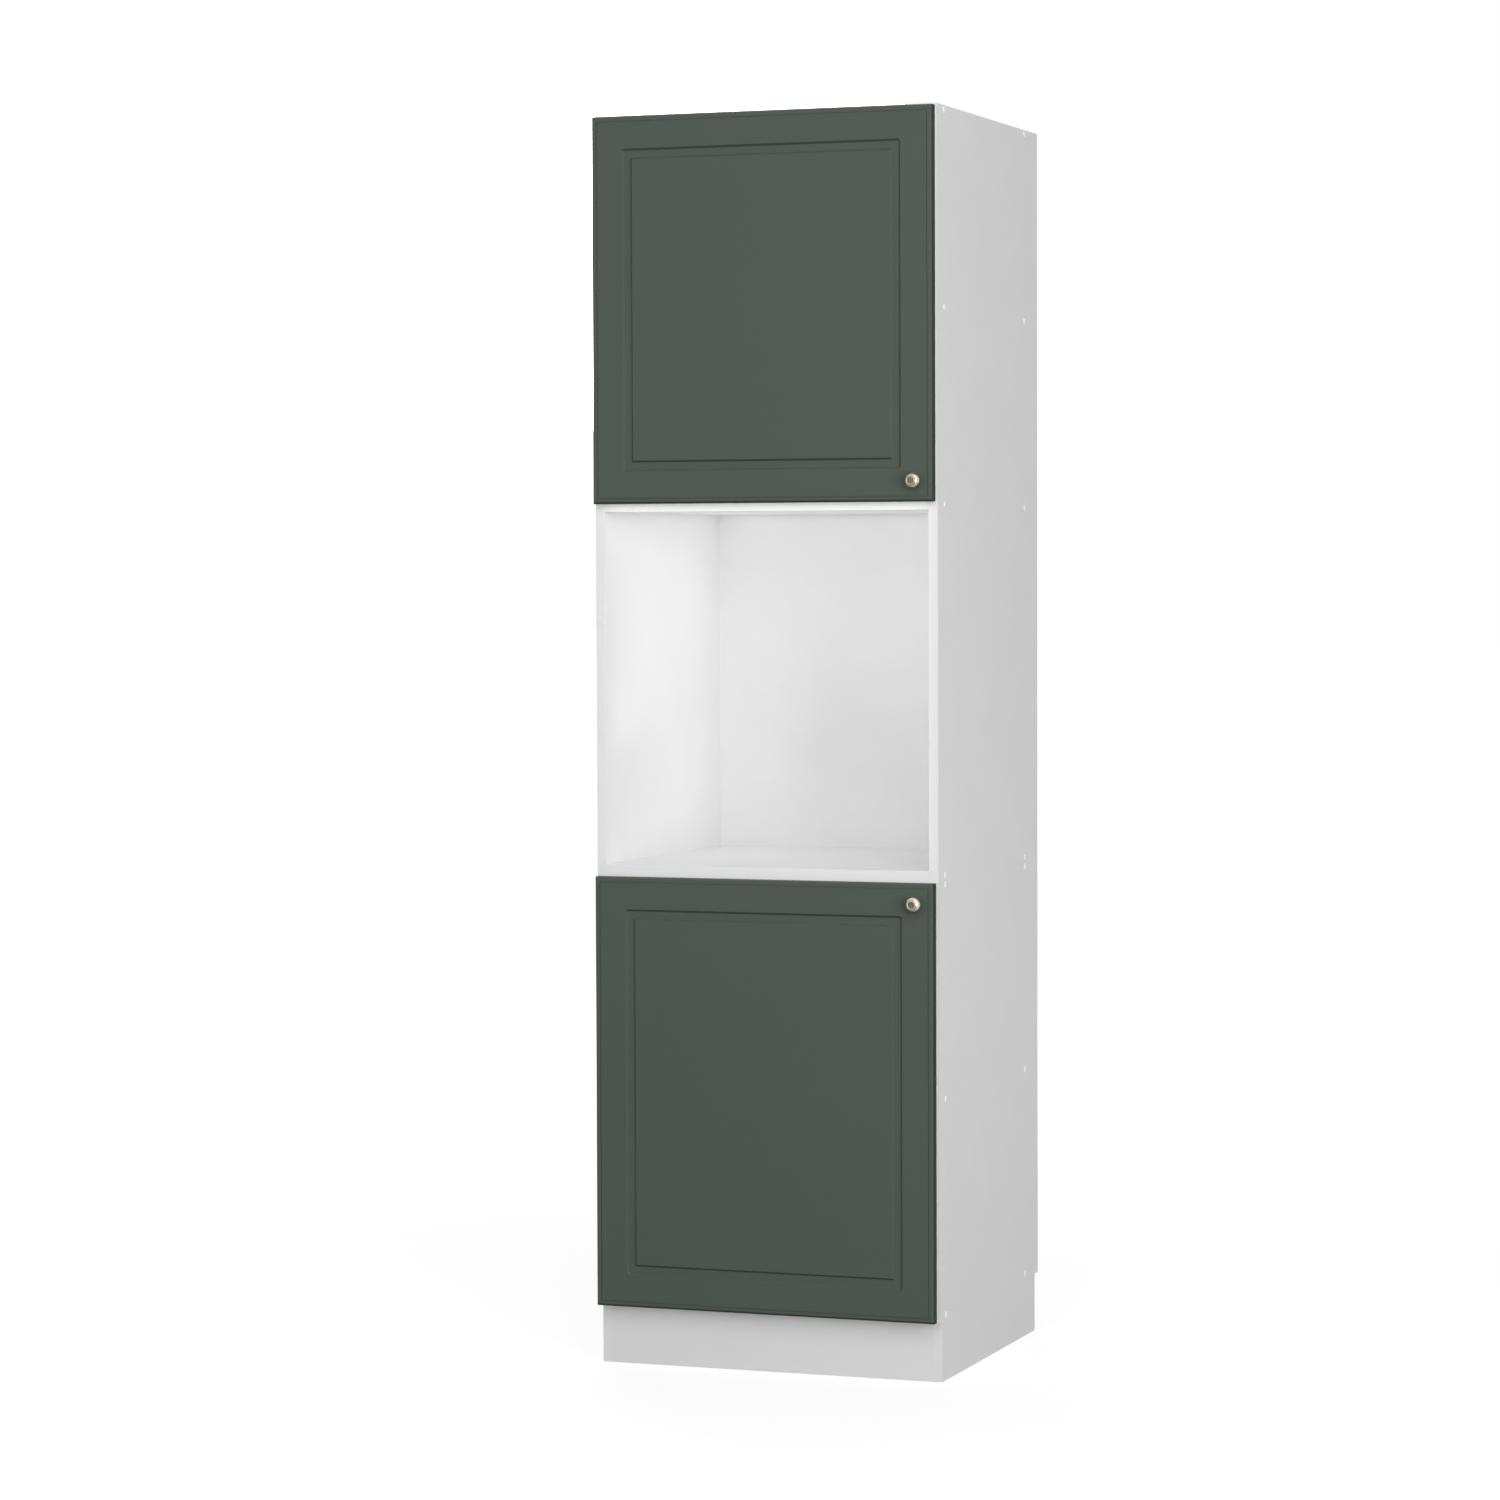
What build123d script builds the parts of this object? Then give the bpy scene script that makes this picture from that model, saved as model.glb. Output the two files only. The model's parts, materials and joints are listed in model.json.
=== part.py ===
"""Oven housing unit: a tall kitchen unit with a lower cupboard, an open oven niche and an upper cupboard.

Two units of white board stand on each other. Each cupboard has a milled door on two cup hinges.
All sizes are in millimetres. X runs to the right, Y to the rear and Z up. The origin is on the floor,
under the middle of everything, knobs and screw caps included.
"""

from build123d import *
import os
from math import atan, degrees

# Cabinet boards
unit_width = 600.0
side_depth = 568.0
board = 16.0
plinth_height = 100.0
lower_unit_height = 726.0
upper_unit_height = 1264.0
niche_height = 590.0
lower_shelf_rise = 341.0
upper_shelf_rise = 305.0
toe_setback = 16.0
skirting_depth = 20.0
skirting_height = 100.0

# Back panels in their grooves
back_thickness = 4.0
back_recess = 20.0
groove_depth = 8.0
groove_play = 0.2
back_side_play = 1.0
back_end_play = 1.0

# Doors
door_thickness = 16.0
door_gap = 3.0
door_side_reveal = 3.0
door_end_reveal = 3.0
lower_door_rise = 1.0
niche_top_reveal = 13.0
door_edge_round = 3.0
quirk_inset = 8.0
quirk_width = 1.4
quirk_depth = 1.1

# Milled groove in the door's front, measured from the door's edges
groove_outer_inset = 53.8
groove_floor_outer_inset = 57.2
groove_floor_inner_inset = 68.8
groove_inner_inset = 72.0
groove_mill_depth = 4.0
groove_outer_corner = 5.0
groove_floor_corner = 1.6

# Knobs
knob_edge_distance = 30.0
knob_end_distance = 34.0
knob_projection = 24.0
knob_foot_radius = 7.0
knob_foot_height = 1.5
knob_neck_radius = 5.0
knob_neck_height = 7.0
knob_rim_radius = 12.75
knob_rim_start = 14.5
knob_rim_end = 17.0
knob_face_radius = 7.5
knob_face_recess = 0.8
knob_face_slope = 0.6
knob_screw_hold = 9.0
knob_thread_play = 1.0

# Assembly screws through the sides into the board ends, and their caps
assembly_screw_length = 50.0
assembly_head_radius = 5.0
assembly_head_depth = 1.5
assembly_shank_radius = 3.5
assembly_tip_radius = 2.2
assembly_tip_length = 6.0
assembly_front_inset = 37.0
assembly_rear_inset = 54.0
socket_sides = 6
socket_radius = 2.2
socket_depth = 3.0
cap_radius = 6.0
cap_top_radius = 3.8
cap_edge_height = 0.6
cap_height = 2.0
cap_plug_radius = 1.7
cap_plug_length = 2.2

# Pan head screws of two sizes
screw_fit = 0.05
thin_screw_radius = 1.75
thin_screw_length = 11.0
thin_head_radius = 3.5
thin_head_height = 1.2
thick_screw_radius = 2.0
thick_head_radius = 4.0
thick_head_height = 1.5
screw_head_round = 0.4
screw_recess_width = 0.8
screw_recess_depth = 0.7
screw_tip_chamfer = 1.0
joining_screw_hold = 11.0
joining_screw_side_inset = 60.0
arm_screw_length = 10.0

# Hinges: a cup in the door, an arm that turns in it, and a plate on the cabinet's side
hinge_inset = 100.0
axis_edge_distance = 7.0
axis_depth = 9.0
cup_edge_distance = 3.0
cup_radius = 17.5
cup_wall = 0.7
cup_pocket_depth = 11.6
cup_floor = 0.9
cup_flange = 1.0
cup_rim_width = 1.0
cup_pocket_side_play = 0.6
cup_pocket_end_play = 0.7
cup_wing_width = 20.0
cup_wing_corner = 6.0
cup_wing_margin = 6.5
cup_screw_spacing = 45.0
cup_screw_offset = 9.5
pin_radius = 1.25
pin_half_length = 8.5
pin_fit = 0.05
knuckle_radius = 2.3
arm_neck_half_width = 5.0
arm_half_width = 8.5
arm_thickness = 2.0
arm_bend_round = 1.5
arm_lip_thickness = 1.5
arm_lip_play = 0.2
arm_reach = 19.0
arm_channel_inset = 3.0
arm_channel_length = 58.0
plate_thickness = 3.0
plate_inset = 22.0
plate_length = 36.0
plate_screw_inset = 37.0
plate_screw_spacing = 32.0
plate_wing_radius = 6.5
plate_corner = 3.0
rib_inset = 26.0
rib_length = 30.0
rib_play = 0.2
adjusting_screw_inset = 32.0
clamping_screw_inset = 50.0

# Door bumpers
bumper_radius = 4.0
bumper_thickness = 2.6
bumper_round = 0.6
bumper_edge_distance = 6.0
bumper_end_distance = 12.0

# Angle brackets, one pair behind the plinth and one pair for the wall
bracket_thickness = 2.0
bracket_width = 22.0
plinth_bracket_leg = 26.0
plinth_bracket_offset = 190.0
plinth_screw_reach = 16.0
wall_bracket_leg = 40.0
wall_bracket_offset = 205.0
wall_bracket_screw_reaches = (12.0, 30.0)
wall_hole_drop = 26.0
wall_hole_radius = 3.0

# Nails that hold the back panels on the boards
nail_radius = 0.8
nail_length = 20.0
nail_head_radius = 2.0
nail_head_height = 0.8
nail_offset = 230.0

# Places that follow from the sizes
reach = door_gap + door_thickness + knob_projection
front_y = (reach - side_depth) / 2
rear_y = front_y + side_depth
door_back_y = front_y - door_gap
door_front_y = door_back_y - door_thickness
back_panel_y = rear_y - back_recess - back_thickness
board_depth = back_panel_y - front_y
plinth_back_y = front_y + toe_setback + board
half_width = unit_width / 2
inner_half = half_width - board

seam_z = plinth_height + lower_unit_height
top_z = seam_z + upper_unit_height
bottom_panel_z = plinth_height
lower_shelf_z = bottom_panel_z + board + lower_shelf_rise
lower_unit_top_z = seam_z - board
oven_shelf_z = seam_z
niche_top_z = oven_shelf_z + board + niche_height
upper_shelf_z = niche_top_z + board + upper_shelf_rise
top_panel_z = top_z - board
lower_levels = (bottom_panel_z, lower_shelf_z, lower_unit_top_z)
upper_levels = (oven_shelf_z, niche_top_z, upper_shelf_z, top_panel_z)

door_width = unit_width - 2 * door_side_reveal
door_half = door_width / 2
lower_door_z = bottom_panel_z + lower_door_rise
lower_door_height = seam_z - door_end_reveal - lower_door_z
upper_door_z = niche_top_z + niche_top_reveal
upper_door_height = top_z - door_end_reveal - upper_door_z
knob_x = door_half - knob_edge_distance
lower_knob_z = lower_door_z + lower_door_height - knob_end_distance
upper_knob_z = upper_door_z + knob_end_distance
lower_hinge_levels = (lower_door_z + hinge_inset, lower_door_z + lower_door_height - hinge_inset)
upper_hinge_levels = (upper_door_z + hinge_inset, upper_door_z + upper_door_height - hinge_inset)

assembly_head_angle = 2 * degrees(atan((assembly_head_radius - assembly_shank_radius) / assembly_head_depth))
assembly_rows = (front_y + assembly_front_inset, back_panel_y - assembly_rear_inset)
nail_columns = (-nail_offset, 0.0, nail_offset)
knob_screw_length = door_thickness + knob_screw_hold
joining_screw_length = board + joining_screw_hold
joining_columns = (joining_screw_side_inset - inner_half, inner_half - joining_screw_side_inset)

axis_x = axis_edge_distance - door_half
axis_y = door_back_y - axis_depth
cup_x = cup_edge_distance + cup_radius - door_half
cup_depth = cup_pocket_depth + cup_floor
cup_screw_x = cup_x + cup_screw_offset
arm_outer_x = axis_x + arm_reach
arm_inner_x = arm_outer_x - arm_thickness
plate_face_x = plate_thickness - inner_half

TO_FRONT = (0, -1, 0)
TO_REAR = (0, 1, 0)
TO_RIGHT = (1, 0, 0)
UPWARD = (0, 0, 1)
DOWNWARD = (0, 0, -1)


def facing_front(y):
    """A plane that looks to the front: its x runs to the right and its y up."""
    return Plane(origin=(0, y, 0), x_dir=TO_RIGHT, z_dir=TO_FRONT)


def facing_right(x):
    """A plane that looks to the right: its x runs to the rear and its y up."""
    return Plane(origin=(x, 0, 0), x_dir=TO_REAR, z_dir=TO_RIGHT)


def place(x, y, z, direction):
    """A place for a hole or a screw, whose head looks in the direction given."""
    return Plane(origin=(x, y, z), z_dir=direction)


def joining_places(z):
    """The places of the screws that join the two units, at the height of a board's underside."""
    return [place(x, y, z, DOWNWARD) for x in joining_columns for y in assembly_rows]


def nail_places(level, y, direction):
    """The places of the nails along the rear edge of one board."""
    return [place(x, y, level + board / 2, direction) for x in nail_columns]


def cup_screw_places(hinge_z, y):
    """The places of the two screws of a hinge cup."""
    offsets = (-cup_screw_spacing / 2, cup_screw_spacing / 2)
    return [place(cup_screw_x, y, hinge_z + offset, TO_REAR) for offset in offsets]


def plate_screw_places(hinge_z, x):
    """The places of the two screws of a hinge's mounting plate."""
    offsets = (-plate_screw_spacing / 2, plate_screw_spacing / 2)
    return [place(x, front_y + plate_screw_inset, hinge_z + offset, TO_RIGHT) for offset in offsets]


def arm_screw_places(hinge_z, x):
    """The places of the adjusting screw and the clamping screw of a hinge arm."""
    insets = (adjusting_screw_inset, clamping_screw_inset)
    return [place(x, front_y + inset, hinge_z, TO_RIGHT) for inset in insets]


def bumper_places(underside, height):
    """The places of a door's two bumpers, on its back at the free edge."""
    levels = (underside + bumper_end_distance, underside + height - bumper_end_distance)
    return [place(door_half - bumper_edge_distance, door_back_y, z, TO_REAR) for z in levels]


def plinth_level_places(z):
    """The places of the plinth brackets' screws into the bottom panel."""
    y = plinth_back_y + plinth_screw_reach
    return [place(x, y, z, DOWNWARD) for x in (-plinth_bracket_offset, plinth_bracket_offset)]


def plinth_upright_places(y):
    """The places of the plinth brackets' screws into the plinth board."""
    z = bottom_panel_z - plinth_screw_reach
    return [place(x, y, z, TO_REAR) for x in (-plinth_bracket_offset, plinth_bracket_offset)]


def wall_bracket_places(z):
    """The places of the wall brackets' screws into the top panel."""
    sides = (-wall_bracket_offset, wall_bracket_offset)
    return [place(x, back_panel_y - y, z, DOWNWARD) for x in sides for y in wall_bracket_screw_reaches]


def wall_hole_places():
    """The places of the two holes for the wall screws, on the front of the upper back panel."""
    sides = (-wall_bracket_offset, wall_bracket_offset)
    return [place(x, back_panel_y, top_panel_z - wall_hole_drop, TO_FRONT) for x in sides]


def write_piece(builder, name):
    """Label a finished piece and write it to its own file."""
    builder.part.label = name
    export_step(builder.part, "parts/" + name + ".step")


def write_copies(shape, places, name):
    """Write a group of like pieces: a shape set at each of the places."""
    with BuildPart() as copies:
        with Locations(*places):
            add(shape)
    write_piece(copies, name)


def make_pan_screw(head_radius, head_height, shank_radius, length):
    """A pan head screw: its head stands on the XY plane and its shank points down."""
    with BuildPart() as screw:
        with BuildSketch(Plane.XY):
            Circle(head_radius)
        extrude(amount=head_height)
        fillet(screw.edges().sort_by(Axis.Z)[-1], radius=screw_head_round)
        with BuildSketch(Plane.XY):
            Circle(shank_radius)
        extrude(amount=-length)
        chamfer(screw.edges().sort_by(Axis.Z)[0], length=screw_tip_chamfer)
        with BuildSketch(Plane.XY.offset(head_height)):
            Rectangle(head_radius, screw_recess_width)
            Rectangle(screw_recess_width, head_radius)
        extrude(amount=-screw_recess_depth, mode=Mode.SUBTRACT)
    return screw.part


def make_thin_screw():
    """A short wood screw for hinges and brackets."""
    return make_pan_screw(thin_head_radius, thin_head_height, thin_screw_radius, thin_screw_length)


def make_thick_screw(length):
    """A thicker screw for knobs, hinge arms and the joint of the two units."""
    return make_pan_screw(thick_head_radius, thick_head_height, thick_screw_radius, length)


def make_assembly_screw():
    """A countersunk screw with a hexagon socket: its head is flush with the XY plane."""
    with BuildPart() as screw:
        with BuildSketch(Plane.XZ):
            with BuildLine():
                Polyline(
                    (0, 0),
                    (assembly_head_radius, 0),
                    (assembly_shank_radius, -assembly_head_depth),
                    (assembly_shank_radius, assembly_tip_length - assembly_screw_length),
                    (assembly_tip_radius, -assembly_screw_length),
                    (0, -assembly_screw_length),
                    close=True,
                )
            make_face()
        revolve(axis=Axis.Z)
        with BuildSketch(Plane.XY):
            RegularPolygon(socket_radius, socket_sides)
        extrude(amount=-socket_depth, mode=Mode.SUBTRACT)
    return screw.part


def make_screw_cap():
    """A flat cap with a sloping rim that lies on the XY plane, with a plug below it for the screw's socket."""
    with BuildPart() as cap:
        with BuildSketch(Plane.XZ):
            with BuildLine():
                Polyline(
                    (0, 0),
                    (cap_radius, 0),
                    (cap_radius, cap_edge_height),
                    (cap_top_radius, cap_height),
                    (0, cap_height),
                    close=True,
                )
            make_face()
        revolve(axis=Axis.Z)
        with BuildSketch(Plane.XY):
            Circle(cap_plug_radius)
        extrude(amount=-cap_plug_length)
    return cap.part


def make_nail():
    """A flat head nail: its head stands on the XY plane and its shank points down."""
    with BuildPart() as nail:
        with BuildSketch(Plane.XY):
            Circle(nail_head_radius)
        extrude(amount=nail_head_height)
        with BuildSketch(Plane.XY):
            Circle(nail_radius)
        extrude(amount=-nail_length)
    return nail.part


def make_knob():
    """A turned metal knob that stands on the XY plane, threaded from below."""
    face_z = knob_projection - knob_face_recess
    with BuildPart() as knob:
        with BuildSketch(Plane.XZ):
            with BuildLine():
                Polyline((0, face_z), (0, 0), (knob_foot_radius, 0), (knob_foot_radius, knob_foot_height))
                Spline(
                    (knob_foot_radius, knob_foot_height),
                    (knob_neck_radius, knob_neck_height),
                    (knob_rim_radius, knob_rim_start),
                )
                Polyline(
                    (knob_rim_radius, knob_rim_start),
                    (knob_rim_radius, knob_rim_end),
                    (knob_face_radius, knob_projection),
                    (knob_face_radius - knob_face_slope, face_z),
                    (0, face_z),
                )
            make_face()
        revolve(axis=Axis.Z)
        with Locations(place(0, 0, 0, DOWNWARD)):
            Hole(thick_screw_radius + screw_fit, knob_screw_hold + knob_thread_play)
    return knob.part


def make_bumper():
    """A soft round bumper that stands on the XY plane."""
    with BuildPart() as bumper:
        with BuildSketch(Plane.XY):
            Circle(bumper_radius)
        extrude(amount=bumper_thickness)
        fillet(bumper.edges().sort_by(Axis.Z)[-1], radius=bumper_round)
    return bumper.part


def make_side(hand, underside, height, levels, hinge_levels=()):
    """A side board of one unit: hand is -1 on the left and 1 on the right."""
    with BuildPart() as side:
        with BuildSketch(facing_right(hand * half_width)):
            with Locations((front_y, underside)):
                Rectangle(side_depth, height, align=Align.MIN)
            if underside < plinth_height:
                with Locations((front_y, underside)):
                    Rectangle(toe_setback, plinth_height, align=Align.MIN, mode=Mode.SUBTRACT)
                with Locations((rear_y, underside)):
                    corner = (Align.MAX, Align.MIN)
                    Rectangle(skirting_depth, skirting_height, align=corner, mode=Mode.SUBTRACT)
        extrude(amount=-hand * board)
        with BuildSketch(facing_right(hand * inner_half)):
            with Locations((back_panel_y, underside)):
                Rectangle(back_thickness + groove_play, height, align=Align.MIN)
        extrude(amount=hand * groove_depth, mode=Mode.SUBTRACT)
        for level in levels:
            middle = level + board / 2
            with Locations(*[place(hand * half_width, row, middle, (hand, 0, 0)) for row in assembly_rows]):
                shank = assembly_shank_radius + screw_fit
                head = assembly_head_radius + screw_fit
                CounterSinkHole(shank, head, counter_sink_angle=assembly_head_angle)
        for hinge_z in hinge_levels:
            with Locations(*plate_screw_places(hinge_z, -inner_half)):
                Hole(thin_screw_radius + screw_fit, thin_screw_length - plate_thickness)
    return side


def make_level_board(underside, hole_places=(), hole_radius=0.0, hole_depth=0.0):
    """A board between the sides, from the unit's front to the back panel, with holes in its underside."""
    with BuildPart() as level_board:
        with BuildSketch(Plane.XY.offset(underside)):
            with Locations((0, front_y)):
                Rectangle(2 * inner_half, board_depth, align=(Align.CENTER, Align.MIN))
        extrude(amount=board)
        middle = underside + board / 2
        for hand in (-1, 1):
            with Locations(*[place(hand * inner_half, row, middle, (hand, 0, 0)) for row in assembly_rows]):
                Hole(assembly_shank_radius + screw_fit, assembly_screw_length - board)
        with Locations(*nail_places(underside, back_panel_y, TO_REAR)):
            Hole(nail_radius + screw_fit, nail_length - back_thickness)
        if hole_places:
            with Locations(*hole_places):
                Hole(hole_radius, hole_depth)
    return level_board


def make_back_panel(underside, height, levels, wall_holes=()):
    """A hardboard panel that stands in the grooves of the two sides, behind the boards."""
    with BuildPart() as back_panel:
        with BuildSketch(facing_front(back_panel_y)):
            with Locations((0, underside + height / 2)):
                Rectangle(2 * (inner_half + groove_depth - back_side_play), height - 2 * back_end_play)
        extrude(amount=-back_thickness)
        for level in levels:
            with Locations(*nail_places(level, back_panel_y, TO_FRONT)):
                Hole(nail_radius + screw_fit)
        if wall_holes:
            with Locations(*wall_holes):
                Hole(wall_hole_radius)
    return back_panel


def make_plinth_board():
    """The board that closes the toe space under the bottom panel."""
    with BuildPart() as plinth:
        with BuildSketch(facing_front(plinth_back_y)):
            with Locations((0, 0)):
                Rectangle(2 * inner_half, plinth_height, align=(Align.CENTER, Align.MIN))
        extrude(amount=board)
        with Locations(*plinth_upright_places(plinth_back_y)):
            Hole(thin_screw_radius + screw_fit, thin_screw_length - bracket_thickness)
    return plinth


def make_brackets(corner_y, corner_z, leg, forward, offset, level_holes, upright_holes, upright_radius):
    """A pair of angle brackets under a board, against an upright board.

    corner_y and corner_z are where the two boards meet. forward is 1 where the brackets' upper legs
    run to the rear of the corner, and -1 where they run to its front.
    """
    with BuildPart() as brackets:
        for hand in (-1, 1):
            with BuildSketch(facing_right(hand * offset - bracket_width / 2)):
                with BuildLine():
                    Polyline(
                        (corner_y, corner_z),
                        (corner_y + forward * leg, corner_z),
                        (corner_y + forward * leg, corner_z - bracket_thickness),
                        (corner_y + forward * bracket_thickness, corner_z - bracket_thickness),
                        (corner_y + forward * bracket_thickness, corner_z - leg),
                        (corner_y, corner_z - leg),
                        close=True,
                    )
                make_face()
            extrude(amount=bracket_width)
        with Locations(*level_holes):
            Hole(thin_screw_radius + screw_fit, bracket_thickness)
        with Locations(*upright_holes):
            Hole(upright_radius, bracket_thickness)
    return brackets


def door_outline(underside, height, inset, depth, corner=0.0):
    """The door's outline, drawn in from its edges, at a depth behind its front."""
    with BuildSketch(facing_front(door_front_y + depth)) as outline:
        with Locations((0, underside + height / 2)):
            if corner > 0:
                RectangleRounded(door_width - 2 * inset, height - 2 * inset, corner)
            else:
                Rectangle(door_width - 2 * inset, height - 2 * inset)
    return outline.sketch


def make_door(underside, height, knob_z, hinge_levels):
    """A door with a raised field inside a milled groove, bored for its hinge cups and its knob."""
    quirk_end = quirk_inset + quirk_width
    with BuildPart() as door:
        extrude(door_outline(underside, height, 0, 0), amount=-door_thickness)
        fillet(door.faces().sort_by(Axis.Y)[0].edges(), radius=door_edge_round)

        groove_top = door_outline(underside, height, groove_outer_inset, 0, groove_outer_corner)
        groove_floor = door_outline(
            underside, height, groove_floor_outer_inset, groove_mill_depth, groove_floor_corner
        )
        loft([groove_top, groove_floor], ruled=True, mode=Mode.SUBTRACT)

        field_foot = door_outline(underside, height, groove_floor_inner_inset, groove_mill_depth)
        field_face = door_outline(underside, height, groove_inner_inset, 0)
        loft([field_foot, field_face], ruled=True)

        quirk_outer = door_outline(underside, height, quirk_inset, 0)
        quirk_inner = door_outline(underside, height, quirk_end, 0)
        extrude(quirk_outer - quirk_inner, amount=-quirk_depth, mode=Mode.SUBTRACT)

        with Locations(*[place(cup_x, door_back_y, z, TO_REAR) for z in hinge_levels]):
            Hole(cup_radius + screw_fit, cup_depth + screw_fit)
        for hinge_z in hinge_levels:
            with Locations(*cup_screw_places(hinge_z, door_back_y)):
                Hole(thin_screw_radius + screw_fit, thin_screw_length - cup_flange)
        with Locations(place(knob_x, door_back_y, knob_z, TO_REAR)):
            Hole(thick_screw_radius + screw_fit)
    return door


def make_hinge_cup(hinge_z):
    """A hinge cup: a round body in the door, a flange on the door's back and a pocket for the arm."""
    with BuildPart() as cup:
        with BuildSketch(facing_front(door_back_y)):
            with Locations((cup_x, hinge_z)):
                Circle(cup_radius)
        extrude(amount=cup_depth)
        with BuildSketch(facing_front(door_back_y)):
            with Locations((cup_x, hinge_z)):
                Circle(cup_radius + cup_rim_width)
            with Locations((cup_screw_x, hinge_z)):
                wing_height = cup_screw_spacing + 2 * cup_wing_margin
                RectangleRounded(cup_wing_width, wing_height, cup_wing_corner)
        extrude(amount=-cup_flange)
        with BuildSketch(facing_front(door_back_y + cup_flange)):
            with Locations((cup_x, hinge_z)):
                Circle(cup_radius - cup_wall)
            with Locations((arm_outer_x + cup_pocket_end_play, hinge_z)):
                pocket_height = 2 * (arm_neck_half_width + cup_pocket_side_play)
                corner = (Align.MAX, Align.CENTER)
                Rectangle(2 * cup_radius, pocket_height, align=corner, mode=Mode.INTERSECT)
        extrude(amount=cup_flange + cup_pocket_depth, mode=Mode.SUBTRACT)
        with BuildSketch(Plane.XY.offset(hinge_z - pin_half_length)):
            with Locations((axis_x, axis_y)):
                Circle(pin_radius)
        extrude(amount=2 * pin_half_length, mode=Mode.SUBTRACT)
        with Locations(*cup_screw_places(hinge_z, door_back_y + cup_flange)):
            Hole(thin_screw_radius + screw_fit)
    return cup


def make_hinge_arm(hinge_z):
    """A hinge arm: a knuckle on the pin, a neck that leaves the cup, and a channel over the plate."""
    neck_y = axis_y - knuckle_radius
    channel_y = front_y + arm_channel_inset
    channel_middle = channel_y + arm_channel_length / 2
    lip_offset = arm_half_width - arm_lip_thickness / 2
    with BuildPart() as arm:
        with BuildSketch(Plane.XY.offset(hinge_z - arm_neck_half_width)):
            with Locations((axis_x, axis_y)):
                Circle(knuckle_radius)
            with Locations((axis_x, neck_y)):
                Rectangle(arm_reach, arm_thickness, align=Align.MIN)
            with Locations((arm_outer_x, neck_y)):
                Rectangle(arm_thickness, channel_y - neck_y, align=(Align.MAX, Align.MIN))
        extrude(amount=2 * arm_neck_half_width)
        upright_edges = arm.edges().filter_by(Axis.Z)
        bend = upright_edges.sort_by_distance((arm_outer_x, neck_y, hinge_z))[0]
        fillet(bend, radius=arm_bend_round)
        with BuildSketch(facing_right(arm_outer_x)):
            with Locations((channel_middle, hinge_z)):
                Rectangle(arm_channel_length, 2 * arm_half_width)
        extrude(amount=-arm_thickness)
        with BuildSketch(facing_right(arm_inner_x)):
            with Locations((channel_middle, hinge_z - lip_offset), (channel_middle, hinge_z + lip_offset)):
                Rectangle(arm_channel_length, arm_lip_thickness)
        extrude(amount=plate_face_x + arm_lip_play - arm_inner_x)
        with Locations(place(axis_x, axis_y, hinge_z, UPWARD)):
            Hole(pin_radius + pin_fit)
        with Locations(*arm_screw_places(hinge_z, arm_outer_x)):
            Hole(thick_screw_radius + screw_fit, arm_thickness)
    return arm


def make_mounting_plate(hinge_z):
    """A mounting plate: a base with two wings on the side board, and a rib inside the arm."""
    rib_half_width = arm_half_width - arm_lip_thickness - rib_play
    with BuildPart() as plate:
        with BuildSketch(facing_right(-inner_half)):
            with Locations((front_y + plate_inset + plate_length / 2, hinge_z)):
                RectangleRounded(plate_length, 2 * arm_half_width, plate_corner)
            with Locations((front_y + plate_screw_inset, hinge_z)):
                SlotOverall(plate_screw_spacing + 2 * plate_wing_radius, 2 * plate_wing_radius, rotation=90)
        extrude(amount=plate_thickness)
        with BuildSketch(facing_right(plate_face_x)):
            with Locations((front_y + rib_inset + rib_length / 2, hinge_z)):
                Rectangle(rib_length, 2 * rib_half_width)
        extrude(amount=arm_inner_x - plate_face_x)
        with Locations(*plate_screw_places(hinge_z, plate_face_x)):
            Hole(thin_screw_radius + screw_fit)
        with Locations(*arm_screw_places(hinge_z, arm_inner_x)):
            Hole(thick_screw_radius + screw_fit, arm_screw_length - arm_thickness)
    return plate


def make_hinge_pins(hinge_levels):
    """The pins of one door's hinges: each is pressed into its cup and passes through the knuckle."""
    with BuildPart() as pins:
        for hinge_z in hinge_levels:
            with BuildSketch(Plane.XY.offset(hinge_z - pin_half_length)):
                with Locations((axis_x, axis_y)):
                    Circle(pin_radius)
            extrude(amount=2 * pin_half_length)
    return pins


def write_door_set(name, underside, height, knob_z, hinge_levels):
    """Write a door with its knob, bumpers and hinges."""
    write_piece(make_door(underside, height, knob_z, hinge_levels), name + "_door")
    write_copies(make_knob(), [place(knob_x, door_front_y, knob_z, TO_FRONT)], name + "_knob")
    knob_screw = make_thick_screw(knob_screw_length)
    write_copies(knob_screw, [place(knob_x, door_back_y, knob_z, TO_REAR)], name + "_knob_screw")
    write_copies(make_bumper(), bumper_places(underside, height), name + "_door_bumpers")

    write_piece(make_hinge_pins(hinge_levels), name + "_hinge_pins")
    for level_name, hinge_z in zip(("bottom", "top"), hinge_levels):
        hinge_name = name + "_door_" + level_name + "_hinge"
        write_piece(make_hinge_cup(hinge_z), hinge_name + "_cup")
        write_piece(make_hinge_arm(hinge_z), hinge_name + "_arm")
        write_piece(make_mounting_plate(hinge_z), hinge_name + "_plate")

    cup_places = [spot for z in hinge_levels for spot in cup_screw_places(z, door_back_y + cup_flange)]
    plate_places = [spot for z in hinge_levels for spot in plate_screw_places(z, plate_face_x)]
    arm_places = [spot for z in hinge_levels for spot in arm_screw_places(z, arm_outer_x)]
    write_copies(make_thin_screw(), cup_places, name + "_hinge_cup_screws")
    write_copies(make_thin_screw(), plate_places, name + "_hinge_plate_screws")
    write_copies(make_thick_screw(arm_screw_length), arm_places, name + "_hinge_arm_screws")


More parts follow.
